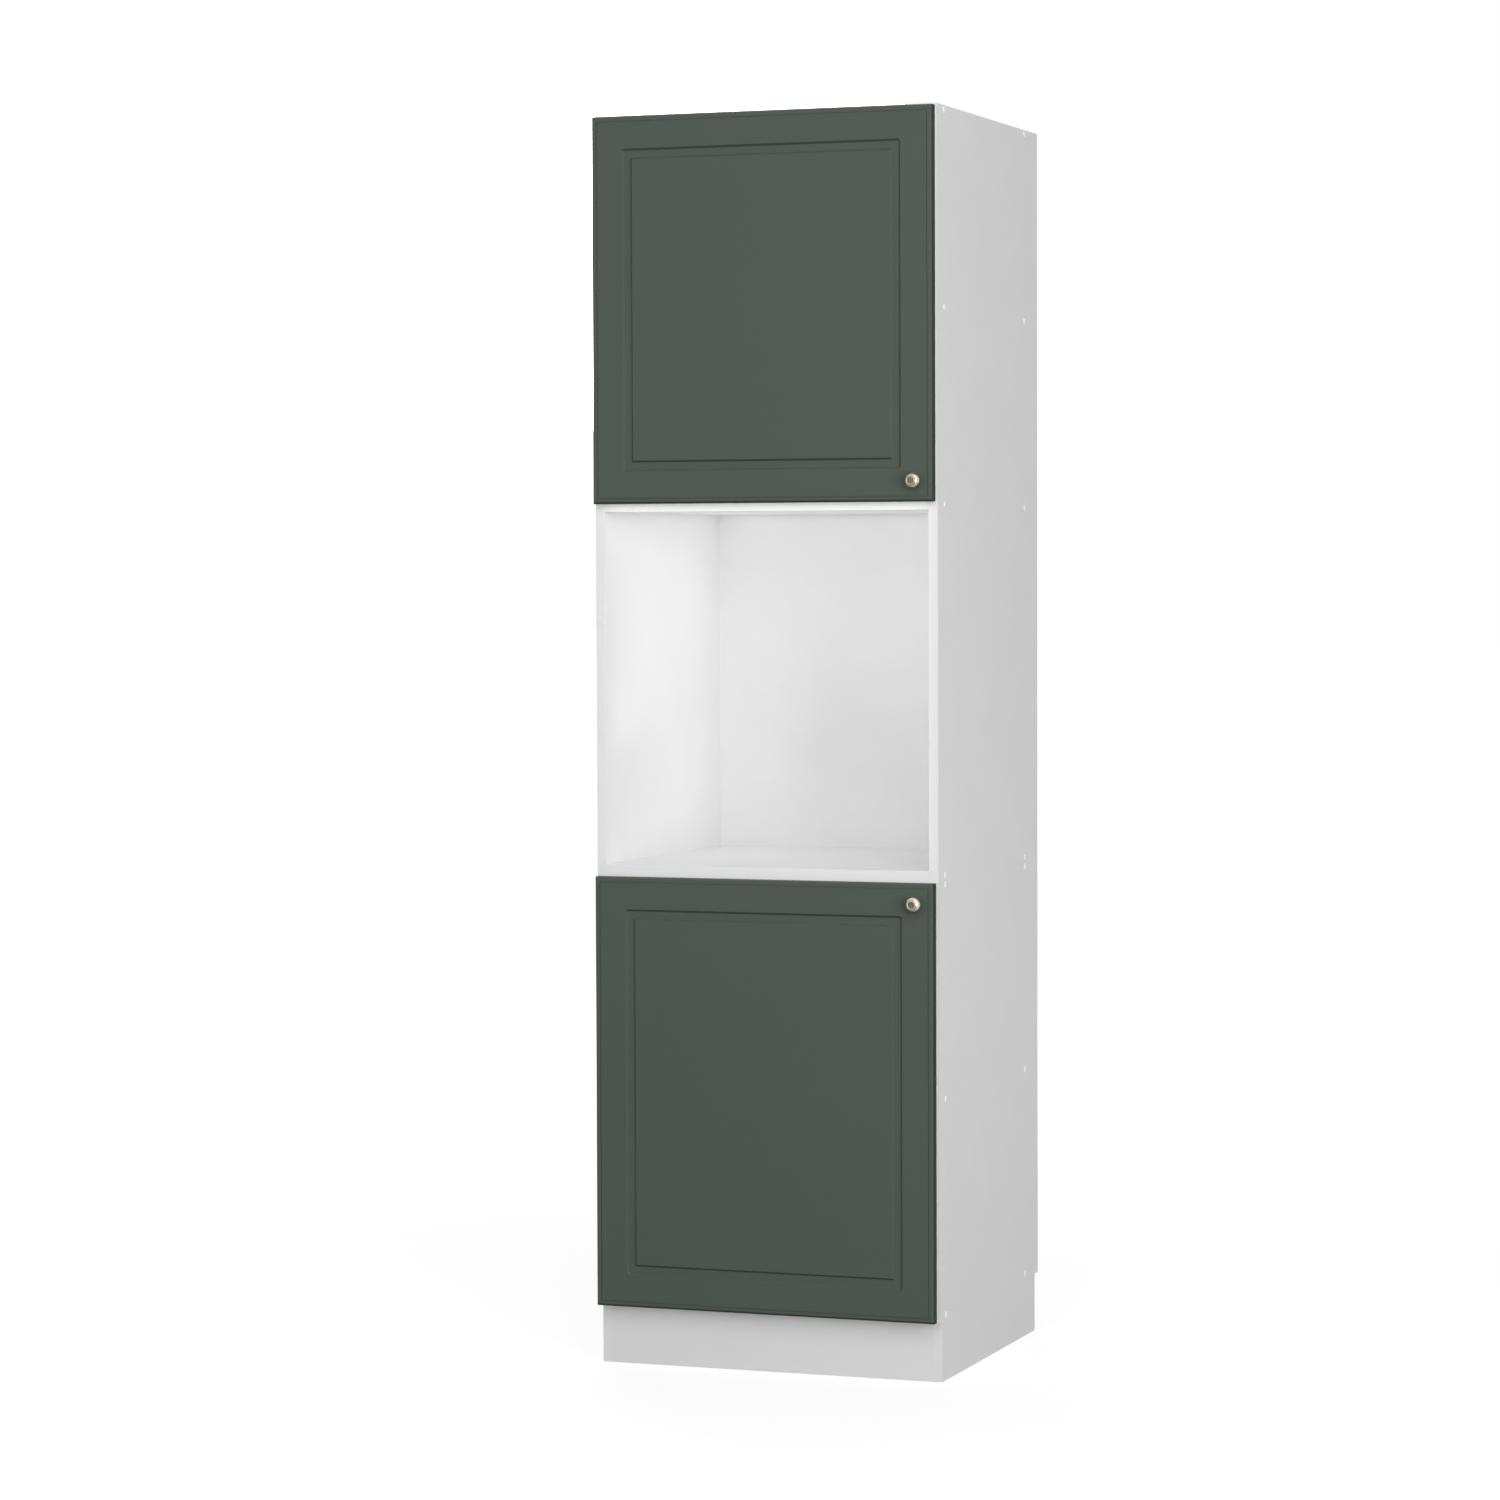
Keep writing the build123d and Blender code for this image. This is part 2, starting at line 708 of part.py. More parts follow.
def write_cabinet():
    """Write the boards, the back panels and the plinth of the two units."""
    lower_side_height = plinth_height + lower_unit_height
    for hand, name in ((-1, "left"), (1, "right")):
        lower_hinges = lower_hinge_levels if hand < 0 else ()
        upper_hinges = upper_hinge_levels if hand < 0 else ()
        lower_side = make_side(hand, 0, lower_side_height, lower_levels, lower_hinges)
        upper_side = make_side(hand, seam_z, upper_unit_height, upper_levels, upper_hinges)
        write_piece(lower_side, "lower_" + name + "_side")
        write_piece(upper_side, "upper_" + name + "_side")

    thin_hole = thin_screw_radius + screw_fit
    thick_hole = thick_screw_radius + screw_fit
    bracket_hole_depth = thin_screw_length - bracket_thickness
    plinth_places = plinth_level_places(bottom_panel_z)
    wall_places = wall_bracket_places(top_panel_z)
    bottom_panel = make_level_board(bottom_panel_z, plinth_places, thin_hole, bracket_hole_depth)
    write_piece(bottom_panel, "bottom_panel")
    write_piece(make_level_board(lower_shelf_z), "lower_shelf")
    lower_unit_top = make_level_board(lower_unit_top_z, joining_places(lower_unit_top_z), thick_hole, board)
    write_piece(lower_unit_top, "lower_unit_top")
    oven_shelf = make_level_board(oven_shelf_z, joining_places(oven_shelf_z), thick_hole, joining_screw_hold)
    write_piece(oven_shelf, "oven_shelf")
    write_piece(make_level_board(niche_top_z), "niche_top")
    write_piece(make_level_board(upper_shelf_z), "upper_shelf")
    write_piece(make_level_board(top_panel_z, wall_places, thin_hole, bracket_hole_depth), "top_panel")

    lower_back = make_back_panel(plinth_height, lower_unit_height, lower_levels)
    upper_back = make_back_panel(seam_z, upper_unit_height, upper_levels, wall_hole_places())
    write_piece(lower_back, "lower_back_panel")
    write_piece(upper_back, "upper_back_panel")
    write_piece(make_plinth_board(), "plinth_board")


def write_fittings():
    """Write the screws, caps, nails and brackets of the cabinet."""
    assembly_screw = make_assembly_screw()
    screw_cap = make_screw_cap()
    for hand, name in ((-1, "left"), (1, "right")):
        heads = [
            place(hand * half_width, row, level + board / 2, (hand, 0, 0))
            for level in lower_levels + upper_levels
            for row in assembly_rows
        ]
        write_copies(assembly_screw, heads, name + "_assembly_screws")
        write_copies(screw_cap, heads, name + "_screw_caps")

    joining_screw = make_thick_screw(joining_screw_length)
    write_copies(joining_screw, joining_places(lower_unit_top_z), "unit_joining_screws")

    nail_face_y = back_panel_y + back_thickness
    nails = [spot for z in lower_levels + upper_levels for spot in nail_places(z, nail_face_y, TO_REAR)]
    write_copies(make_nail(), nails, "back_panel_nails")

    plinth_brackets = make_brackets(
        plinth_back_y,
        bottom_panel_z,
        plinth_bracket_leg,
        1,
        plinth_bracket_offset,
        plinth_level_places(bottom_panel_z),
        plinth_upright_places(plinth_back_y),
        thin_screw_radius + screw_fit,
    )
    write_piece(plinth_brackets, "plinth_brackets")
    level_heads = plinth_level_places(bottom_panel_z - bracket_thickness)
    upright_heads = plinth_upright_places(plinth_back_y + bracket_thickness)
    write_copies(make_thin_screw(), level_heads + upright_heads, "plinth_bracket_screws")

    wall_brackets = make_brackets(
        back_panel_y,
        top_panel_z,
        wall_bracket_leg,
        -1,
        wall_bracket_offset,
        wall_bracket_places(top_panel_z),
        wall_hole_places(),
        wall_hole_radius,
    )
    write_piece(wall_brackets, "wall_brackets")
    wall_heads = wall_bracket_places(top_panel_z - bracket_thickness)
    write_copies(make_thin_screw(), wall_heads, "wall_bracket_screws")


os.makedirs("parts", exist_ok=True)
write_cabinet()
write_fittings()
write_door_set("lower", lower_door_z, lower_door_height, lower_knob_z, lower_hinge_levels)
write_door_set("upper", upper_door_z, upper_door_height, upper_knob_z, upper_hinge_levels)
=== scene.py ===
"""Looks of the oven housing unit: white boards, two milled green doors, small metal knobs.

Everything is in metres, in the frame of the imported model: X right, Y to the rear, Z up.
"""

import json
from math import cos, pi, radians, sin

import bmesh
import bpy
from mathutils import Matrix, Vector


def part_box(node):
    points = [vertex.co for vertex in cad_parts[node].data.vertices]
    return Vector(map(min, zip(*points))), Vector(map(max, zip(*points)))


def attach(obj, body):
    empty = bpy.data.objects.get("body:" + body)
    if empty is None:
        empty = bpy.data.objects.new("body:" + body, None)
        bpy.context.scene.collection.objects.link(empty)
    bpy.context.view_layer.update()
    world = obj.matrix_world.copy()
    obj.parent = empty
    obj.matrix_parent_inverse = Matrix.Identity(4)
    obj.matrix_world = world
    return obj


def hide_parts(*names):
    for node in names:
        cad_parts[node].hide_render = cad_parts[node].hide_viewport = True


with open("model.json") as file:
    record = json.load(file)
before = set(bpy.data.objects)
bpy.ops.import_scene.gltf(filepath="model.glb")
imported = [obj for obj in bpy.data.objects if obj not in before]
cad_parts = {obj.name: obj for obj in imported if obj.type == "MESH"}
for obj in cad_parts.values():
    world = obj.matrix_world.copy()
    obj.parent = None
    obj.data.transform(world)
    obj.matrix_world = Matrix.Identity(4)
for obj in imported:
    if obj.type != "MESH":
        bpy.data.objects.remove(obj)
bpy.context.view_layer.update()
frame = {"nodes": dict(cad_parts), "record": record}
nodes = frame["nodes"]
bodies = frame["record"]["behaviour"]["bodies"]
node_body = {node: body for body, members in bodies.items() for node in members}
slot_of_node = {name: node.data.materials[0].name for name, node in nodes.items()}

MM = 0.001

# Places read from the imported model
side_low, side_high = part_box("lower_right_side")
front_y = side_low.y
outer_x = side_high.x
door_right_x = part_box("lower_door")[1].x
door_back_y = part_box("lower_door")[1].y
toe_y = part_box("plinth_board")[0].y
plinth_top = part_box("plinth_board")[1].z
tower_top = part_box("top_panel")[1].z

# Camera, at the photograph's viewing angle
camera_place = (2.5234, -7.1980, 1.3428)
camera_yaw = 20.18
camera_pitch = -2.37
camera_roll = 0.20
camera_focal_pixels = 4469.0
picture_pixels = 1500.0
sensor_width_mm = 36.0

# Boards; the flat angle is in degrees
weld_distance = 0.001 * MM
flat_angle = 0.5
band_thickness = 0.8 * MM
arris_width = 0.45 * MM
arris_segments = 2
long_edge = 40 * MM
square_cosine = 0.1
facing_cosine = 0.9
level_boards = (
    "bottom_panel",
    "lower_shelf",
    "lower_unit_top",
    "oven_shelf",
    "niche_top",
    "upper_shelf",
    "top_panel",
)

# Screw caps, with a hair of room at foot and top, and an edge sharp from the crease in degrees
cap_radius = 5.98 * MM
cap_gap = 0.02 * MM
cap_chamfer = 0.1 * MM
cap_rounding = 1.2 * MM
cap_dome = 0.25 * MM
cap_dome_rings = 5
cap_segments = 48
cap_crease = 50.0

# Knobs; the points of the profile are in millimetres
knob_neck = (5.0, 7.0)
knob_flare = (7.0, 6.6)
knob_flare_steps = 12
knob_dome_centre = (3.9, 14.3)
knob_dome_radii = (8.7, 8.9)
knob_dome_angles = (8.0, 62.0)
knob_dome_steps = 12
knob_segments = 96
knob_crease = 38.0
# Colour bands of the knob: the darker sunk face, and painted shade in the groove
knob_face_edge = (5.6 * MM, 6.0 * MM)
knob_groove = (7.35 * MM, 7.95 * MM)
knob_groove_blend = 0.2 * MM
knob_front_height = 16.0 * MM
# Painted reflection on the knobs: how much facing right counts, and the darkest and lightest shares
painted_reflection_sideways = 0.55
painted_reflection_shades = (0.45, 1.75)

# Door film: painted shade and light on its slopes; the width, painted shade and roughness of its
# outer edges and lower fine line
painted_slope_shades = (0.62, 1.16)
painted_sideways_shades = (0.87, 1.10)
film_edge = 4.8 * MM
film_edge_blend = (1.6 * MM, 0.4 * MM)
film_edge_start = 0.6
painted_edge_darkness = 0.46
film_edge_roughness = 0.9
fine_line = 8.7 * MM
fine_line_width = (0.8 * MM, 1.6 * MM)
painted_line_shade_share = 0.24

# Studio
backdrop_level = 1.0
world_light = 0.252
floor_half_size = 60.0
floor_tone = 0.3
floor_glow = 0.80
floor_shadow_share = 0.34
floor_fade = (1.6, 4.5)
# Name, place, target, width and power of each lamp
studio_lamps = (
    ("right", (4.6, -4.0, 1.6), (0.0, 0.0, 1.0), 3.0, 106.0),
    ("low", (4.3, -4.3, 0.9), (0.0, 0.0, 0.9), 3.0, 74.0),
    ("left", (-2.6, -6.0, 1.8), (0.0, 0.0, 1.0), 3.0, 50.0),
    ("high", (3.45, -5.97, 6.98), (0.0, 0.0, 1.2), 2.0, 73.0),
    ("near", (0.9, -3.2, 2.6), (0.0, 0.0, 1.5), 1.2, 14.0),
    ("rear", (-3.2, 5.6, 3.2), (0.0, 0.0, 1.0), 3.0, 154.0),
    ("over", (0.0, 0.25, 4.6), (0.0, 0.25, 0.0), 0.6, 11.0),
)
# Lamps behind and above the unit, which leave no glare on its top
unmirrored_lamps = ("rear", "over")
# Lamps in the open niche, measured from its middle: name, place, target, size, power and spread
niche_lamps = (
    ("niche_opening", (0.0, -0.2815, 0.0), (0.0, 0.0, 0.0), (0.570, 0.590), 0.165, 180.0),
    ("niche_ceiling", (0.0, 0.0095, 0.2935), (0.0, 0.0105, -0.5), (0.54, 0.53), 0.279, 180.0),
    ("niche_lintel", (0.0, -0.2815, 0.293), (0.0, 0.0, 0.293), (0.57, 0.02), 0.018, 180.0),
    ("niche_upward", (0.0, -0.25, -0.137), (0.0, 0.08, 0.295), (0.5, 0.08), 0.178, 90.0),
    ("niche_rear", (0.12, 0.12, 0.0), (-0.28, 0.16, 0.0), (0.12, 0.52), 0.043, 110.0),
    ("niche_left", (-0.05, 0.0, 0.0), (-0.284, 0.24, 0.0), (0.08, 0.52), 0.037, 70.0),
)


def tone(colour, factor):
    return tuple(channel * factor for channel in colour)


# Node helpers
class Shader:
    """A material's node tree with short calls for the nodes used here."""

    def __init__(self, name):
        self.material = bpy.data.materials.new(name)
        self.material.use_nodes = True
        self.tree = self.material.node_tree
        self.tree.nodes.clear()
        self.output = self.tree.nodes.new("ShaderNodeOutputMaterial")
        self.surface = self.tree.nodes.new("ShaderNodeBsdfPrincipled")
        self.tree.links.new(self.surface.outputs[0], self.output.inputs["Surface"])

    def node(self, kind, links=None, **settings):
        made = self.tree.nodes.new("ShaderNode" + kind)
        for key, value in settings.items():
            setattr(made, key, value)
        for socket, value in (links or {}).items():
            if isinstance(value, bpy.types.NodeSocket):
                self.tree.links.new(value, made.inputs[socket])
            else:
                made.inputs[socket].default_value = value
        return made

    def coordinates(self, output="Object"):
        return self.node("TexCoord").outputs[output]

    def math(self, operation, a, b=0.0):
        return self.node("Math", {0: a, 1: b}, operation=operation).outputs[0]

    def parts(self, output="Object"):
        """The X, Y and Z of the place on the piece, or of its normal."""
        return self.node("SeparateXYZ", {0: self.coordinates(output)}).outputs

    def stretched(self, scale):
        return self.node("Mapping", {"Vector": self.coordinates(), "Scale": scale}).outputs[0]

    def noise(self, scale, detail, roughness=0.5, vector=None):
        values = {"Scale": scale, "Detail": detail, "Roughness": roughness}
        values["Vector"] = vector or self.coordinates()
        return self.node("TexNoise", values).outputs[0]

    def cells(self, scale, vector, feature="F1", output="Distance"):
        values = {"Scale": scale, "Vector": vector}
        return self.node("TexVoronoi", values, feature=feature).outputs[output]

    def ramp(self, factor, stops):
        made = self.node("ValToRGB", {"Fac": factor})
        band = made.color_ramp.elements
        while len(band) < len(stops):
            band.new(0.5)
        for element, (place, colour) in zip(band, stops):
            element.position = place
            element.color = (*colour, 1)
        return made.outputs[0]

    def shades(self, factor, colour, dark, light, start=0.3, end=0.7):
        """Two tones of one colour, blended by a texture."""
        return self.ramp(factor, ((start, tone(colour, dark)), (end, tone(colour, light))))

    def grain(self, factor, low, high):
        """A roughness that a texture takes from low to high."""
        return self.spread(factor, low, high, 0.3, 0.7)

    def tint(self, colour, factor):
        """A colour multiplied by a grey value."""
        return self.mix(1.0, colour, factor, "MULTIPLY")

    def spread(self, factor, low, high, source_low=0.0, source_high=1.0):
        values = {0: factor, 1: source_low, 2: source_high, 3: low, 4: high}
        return self.node("MapRange", values).outputs[0]

    def mix(self, factor, a, b, blend="MIX"):
        made = self.node("Mix", data_type="RGBA", blend_type=blend)
        for index, value in ((0, factor), (6, a), (7, b)):
            if isinstance(value, bpy.types.NodeSocket):
                self.tree.links.new(value, made.inputs[index])
            else:
                made.inputs[index].default_value = value if index == 0 else (*value, 1)
        return made.outputs[2]

    def bump(self, height, distance, strength, before=None):
        values = {"Height": height, "Distance": distance, "Strength": strength}
        if before is not None:
            values["Normal"] = before
        return self.node("Bump", values).outputs[0]

    def finish(self, colour, roughness, normal=None, **constants):
        for socket, value in (("Base Color", colour), ("Roughness", roughness)):
            if isinstance(value, bpy.types.NodeSocket):
                self.tree.links.new(value, self.surface.inputs[socket])
            else:
                self.surface.inputs[socket].default_value = value
        if normal is not None:
            self.tree.links.new(normal, self.surface.inputs["Normal"])
        for name, value in constants.items():
            self.surface.inputs[name.replace("_", " ")].default_value = value
        return self.material


# Materials
white = (0.860, 0.862, 0.860)
band_white = (0.875, 0.877, 0.875)
door_green = (0.0800, 0.1030, 0.0830)
knob_gold = (0.445, 0.425, 0.345)
# Dark colour of the knob's sunk face, also used as painted shade in its groove
knob_face = (0.100, 0.080, 0.050)
steel_grey = (0.74, 0.735, 0.72)
zinc_grey = (0.66, 0.67, 0.68)


def melamine():
    """White melamine: a faint pearl texture under a satin surface."""
    s = Shader("white_melamine")
    colour = s.shades(s.noise(9.0, 3.0, 0.55), white, 0.985, 1.01)
    pearl = s.noise(1500.0, 2.0, 0.6)
    roughness = s.grain(s.noise(420.0, 2.0), 0.36, 0.46)
    return s.finish(colour, roughness, s.bump(pearl, 0.03 * MM, 0.35))


def edge_band():
    """Plastic edge banding: smoother than the board, with faint scraper marks along it."""
    s = Shader("white_edge_band")
    streaks = s.noise(1.0, 3.0, 0.6, s.stretched((18.0, 700.0, 18.0)))
    colour = s.shades(streaks, band_white, 0.985, 1.0)
    roughness = s.grain(streaks, 0.26, 0.36)
    return s.finish(colour, roughness, s.bump(s.noise(260.0, 2.0), 0.02 * MM, 0.4))


def chipboard():
    """Bare particle board, where a board's edge has no band."""
    s = Shader("raw_chipboard")
    warped = s.stretched((1.0, 1.0, 1.7))
    flake = s.cells(520.0, warped, output="Color")
    fine = s.noise(1400.0, 3.0, 0.7)
    value = s.mix(0.35, flake, fine)
    colour = s.ramp(
        value,
        (
            (0.15, (0.20, 0.125, 0.065)),
            (0.40, (0.40, 0.275, 0.155)),
            (0.62, (0.53, 0.39, 0.235)),
            (0.90, (0.66, 0.53, 0.36)),
        ),
    )
    gaps = s.cells(520.0, warped, feature="DISTANCE_TO_EDGE")
    pitted = s.math("MULTIPLY", gaps, s.noise(240.0, 2.0))
    return s.finish(colour, 0.88, s.bump(pitted, 0.5 * MM, 0.8))


def hardboard():
    """Thin fibreboard: white lacquer on the face inside the unit, bare and brown behind."""
    s = Shader("white_hardboard")
    fibres = s.noise(1.0, 4.0, 0.7, s.stretched((420.0, 420.0, 160.0)))
    blotches = s.noise(14.0, 3.0, 0.6)
    value = s.mix(0.55, fibres, blotches)
    brown = s.ramp(
        value,
        (
            (0.25, (0.150, 0.083, 0.042)),
            (0.50, (0.230, 0.140, 0.076)),
            (0.75, (0.315, 0.205, 0.120)),
        ),
    )
    lacquer = s.shades(s.noise(12.0, 2.0), white, 0.975, 1.0)
    front = s.math("LESS_THAN", s.parts("Normal")[1], -0.5)
    colour = s.mix(front, brown, lacquer)
    roughness = s.spread(front, 0.82, 0.42)
    height = s.math("MULTIPLY", fibres, s.spread(front, 1.0, 0.12))
    return s.finish(colour, roughness, s.bump(height, 0.08 * MM, 0.6))


def painted_edge_shade_mask(s):
    """A mask of painted shade on the right and lower edges of both doors, and a little in the lower
    fine line.
    """
    place = s.parts()
    blend = [door_right_x - distance for distance in film_edge_blend]
    edge = s.spread(place[0], 0.0, 1.0, *blend)
    for door in ("lower_door", "upper_door"):
        height = s.math("SUBTRACT", place[2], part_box(door)[0].z)
        low = s.spread(height, 1.0, 0.0, film_edge_start * film_edge, film_edge)
        off_line = s.math("ABSOLUTE", s.math("SUBTRACT", height, fine_line))
        low = s.math("MAXIMUM", low, s.spread(off_line, painted_line_shade_share, 0.0, *fine_line_width))
        on_door = s.math("GREATER_THAN", height, -1 * MM)
        edge = s.math("MAXIMUM", edge, s.math("MULTIPLY", low, on_door))
    return edge


def door_film():
    """Matt green film pressed over milled fibreboard, with the white rear face of the board.

    Painted shade and light: darker on slopes facing down or left, lighter facing up or right,
    darker on outer edges.
    """
    s = Shader("green_door_film")
    green = s.shades(s.noise(2.2, 2.0, 0.5), door_green, 0.985, 1.015)
    speckle = s.spread(s.noise(900.0, 2.0, 0.6), 0.0, 0.10, 0.35, 0.65)
    green = s.mix(speckle, green, tone(door_green, 1.25))
    backing = s.shades(s.noise(11.0, 3.0), white, 0.98, 1.0)
    facing = s.parts("Normal")
    at_back = s.math("GREATER_THAN", s.parts()[1], door_back_y - 0.15 * MM)
    rear = s.math("MULTIPLY", at_back, s.math("GREATER_THAN", facing[1], facing_cosine))
    # Painted shade and painted light: darker on slopes facing down or left, lighter on slopes
    # facing up or right
    slopes = ((facing[2], painted_slope_shades), (facing[0], painted_sideways_shades))
    for direction, (darkest, lightest) in slopes:
        green = s.tint(green, s.spread(direction, darkest, 1.0, -1.0, 0.0))
        green = s.tint(green, s.spread(direction, 1.0, lightest, 0.0, 1.0))
    # Painted shade on the right and lower edges of the doors and in the lower fine line
    edge = painted_edge_shade_mask(s)
    green = s.mix(edge, green, tone(door_green, painted_edge_darkness))
    colour = s.mix(rear, green, backing)
    grain = s.noise(760.0, 2.0, 0.55)
    edge_roughness = s.math("MULTIPLY", edge, film_edge_roughness)
    roughness = s.math("MAXIMUM", s.grain(grain, 0.52, 0.61), edge_roughness)
    pressed = s.bump(s.noise(55.0, 2.0, 0.5), 0.10 * MM, 0.25)
    normal = s.bump(grain, 0.04 * MM, 0.45, pressed)
    return s.finish(colour, roughness, normal, Specular_IOR_Level=0.2)


def knob_metal():
    """Champagne coloured metal, turned on a lathe: bright dome and lip, darker sunk face, painted
    shade in the groove.

    A painted reflection makes it lighter towards the upper right and darker towards the lower left.
    """
    s = Shader("knob_metal")
    place = s.parts()
    across = s.math("POWER", place[0], 2.0)
    up = s.math("POWER", place[2], 2.0)
    radius = s.math("SQRT", s.math("ADD", across, up))
    ring = s.node("CombineXYZ", {0: radius, 1: place[1], 2: 0.0}).outputs[0]
    rings = s.noise(2600.0, 2.0, 0.6, ring)
    patina = s.noise(420.0, 3.0, 0.6)
    bright = s.shades(patina, knob_gold, 0.88, 1.06)
    dull = s.shades(patina, knob_face, 0.75, 1.25, 0.35, 0.65)
    on_face = s.spread(radius, 1.0, 0.0, *knob_face_edge)
    # Painted shade in the groove between dome and lip
    inner, outer = knob_groove
    beyond = s.spread(radius, 0.0, 1.0, inner - knob_groove_blend, inner)
    before = s.spread(radius, 1.0, 0.0, outer, outer + knob_groove_blend)
    painted_groove_shade = s.math("MULTIPLY", beyond, before)
    in_front = s.math("LESS_THAN", place[1], -knob_front_height)
    dark_face_and_groove_shade = s.math("MULTIPLY", s.math("MAXIMUM", on_face, painted_groove_shade), in_front)
    colour = s.mix(dark_face_and_groove_shade, bright, dull)
    # Painted reflection: lighter where the surface faces up and right, darker where it faces down
    # and left
    facing = s.parts("Normal")
    sideways = s.math("MULTIPLY", facing[0], painted_reflection_sideways)
    painted_light_facing = s.math("ADD", sideways, facing[2])
    colour = s.tint(colour, s.spread(painted_light_facing, *painted_reflection_shades, -1.0, 1.0))
    roughness = s.grain(rings, 0.24, 0.36)
    return s.finish(colour, roughness, s.bump(rings, 0.02 * MM, 0.6), Metallic=1.0)


def plated_steel(name, colour, low, high, scratch):
    """Plated steel with faint rolling marks."""
    s = Shader(name)
    marks = s.noise(1.0, 3.0, 0.65, s.stretched((900.0, 110.0, 900.0)))
    shade = s.shades(s.noise(70.0, 3.0, 0.5), colour, 0.93, 1.04)
    roughness = s.grain(marks, low, high)
    return s.finish(shade, roughness, s.bump(marks, scratch, 0.5), Metallic=1.0)


def cap_plastic():
    """White moulded plastic of the screw caps."""
    s = Shader("cap_plastic")
    cloud = s.noise(300.0, 2.0)
    colour = s.ramp(cloud, ((0.3, (0.93, 0.93, 0.925)), (0.7, (0.95, 0.95, 0.945))))
    roughness = s.grain(s.noise(900.0, 2.0), 0.15, 0.24)
    return s.finish(colour, roughness, s.bump(s.noise(1100.0, 2.0), 0.02 * MM, 0.3))


def bumper_rubber():
    """Clear soft domes that stop a door quietly."""
    s = Shader("bumper_rubber")
    haze = s.noise(500.0, 2.0)
    colour = s.ramp(haze, ((0.3, (0.80, 0.81, 0.80)), (0.7, (0.90, 0.91, 0.90))))
    roughness = s.grain(haze, 0.10, 0.22)
    return s.finish(colour, roughness, Transmission_Weight=0.8, IOR=1.48)


look = {
    "white_melamine": melamine(),
    "white_edge_band": edge_band(),
    "raw_chipboard": chipboard(),
    "white_hardboard": hardboard(),
    "green_door_film": door_film(),
    "knob_metal": knob_metal(),
    "hinge_steel": plated_steel("hinge_steel", steel_grey, 0.16, 0.30, 0.02 * MM),
    "zinc_steel": plated_steel("zinc_steel", zinc_grey, 0.28, 0.42, 0.03 * MM),
    "cap_plastic": cap_plastic(),
    "bumper_rubber": bumper_rubber(),
}


# Pieces
def new_piece(name, build, materials, node, crease=None, place=(0, 0, 0)):
    """Put a finished build in the scene as the piece that stands for a CAD node."""
    mesh = bpy.data.meshes.new(name)
    build.to_mesh(mesh)
    build.free()
    for material in materials:
        mesh.materials.append(look[material])
    if crease is not None:
        mesh.set_sharp_from_angle(angle=radians(crease))
    piece = bpy.data.objects.new(name, mesh)
    bpy.context.scene.collection.objects.link(piece)
    piece.location = place
    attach(piece, node_body[node])
    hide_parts(node)


def weld(build):
    bmesh.ops.remove_doubles(build, verts=build.verts, dist=weld_distance)


def is_arris(edge):
    """A long sharp edge between two flat faces."""
    if len(edge.link_faces) != 2 or edge.calc_length() < long_edge:
        return False
    first, second = (face.normal for face in edge.link_faces)
    return abs(first.dot(second)) < square_cosine


def banded_side(centre, normal):
    """Edge banding on a side board: its front, the toe cut-out and the top of the tower."""
    front = toe_y if centre.z < plinth_top else front_y
    in_front = centre.y < front + band_thickness
    on_top = centre.z > tower_top - band_thickness
    facing_down = normal.z < -facing_cosine
    above_toe = centre.y < toe_y and centre.z > 0.5 * plinth_top
    return in_front or on_top or (facing_down and above_toe)


def banded_level(centre, normal):
    """Edge banding on a level board: its front edge."""
    return centre.y < front_y + band_thickness


def banded_plinth(centre, normal):
    """Edge banding on the plinth board: none that shows."""
    return False


def make_board(node, flat_axis, banded, cuts):
    """The board of a CAD node with broken edges, its banded edges and its bare chipboard edges."""
    build = bmesh.new()
    build.from_mesh(nodes[node].data)
    weld(build)
    flat = radians(flat_angle)
    bmesh.ops.dissolve_limit(build, angle_limit=flat, verts=build.verts, edges=build.edges)
    for axis, level in cuts:
        everything = build.verts[:] + build.edges[:] + build.faces[:]
        normal = Vector([float(index == axis) for index in range(3)])
        bmesh.ops.bisect_plane(
            build,
            geom=everything,
            dist=weld_distance,
            plane_co=normal * level,
            plane_no=normal,
        )
    build.normal_update()
    for face in build.faces:
        centre = face.calc_center_bounds()
        face.smooth = False
        if banded(centre, face.normal):
            face.material_index = 1
        elif abs(face.normal[flat_axis]) > facing_cosine:
            face.material_index = 0
        else:
            face.material_index = 2
    bmesh.ops.bevel(
        build,
        geom=[edge for edge in build.edges if is_arris(edge)],
        offset=arris_width,
        segments=arris_segments,
        profile=0.5,
        affect="EDGES",
        clamp_overlap=True,
    )
    bmesh.ops.dissolve_degenerate(build, dist=weld_distance, edges=build.edges)
    materials = ("white_melamine", "white_edge_band", "raw_chipboard")
    new_piece(node + "_board", build, materials, node)


def islands(node):
    """The lowest and highest corner of each separate solid in a CAD node."""
    build = bmesh.new()
    build.from_mesh(nodes[node].data)
    weld(build)
    left = set(build.verts)
    boxes = []
    while left:
        queue = [left.pop()]
        found = []
        while queue:
            vertex = queue.pop()
            found.append(vertex.co.copy())
            for edge in vertex.link_edges:
                other = edge.other_vert(vertex)
                if other in left:
                    left.remove(other)
                    queue.append(other)
        low = Vector([min(point[i] for point in found) for i in range(3)])
        high = Vector([max(point[i] for point in found) for i in range(3)])
        boxes.append((low, high))
    build.free()
    return sorted(boxes, key=lambda pair: tuple(pair[0]))


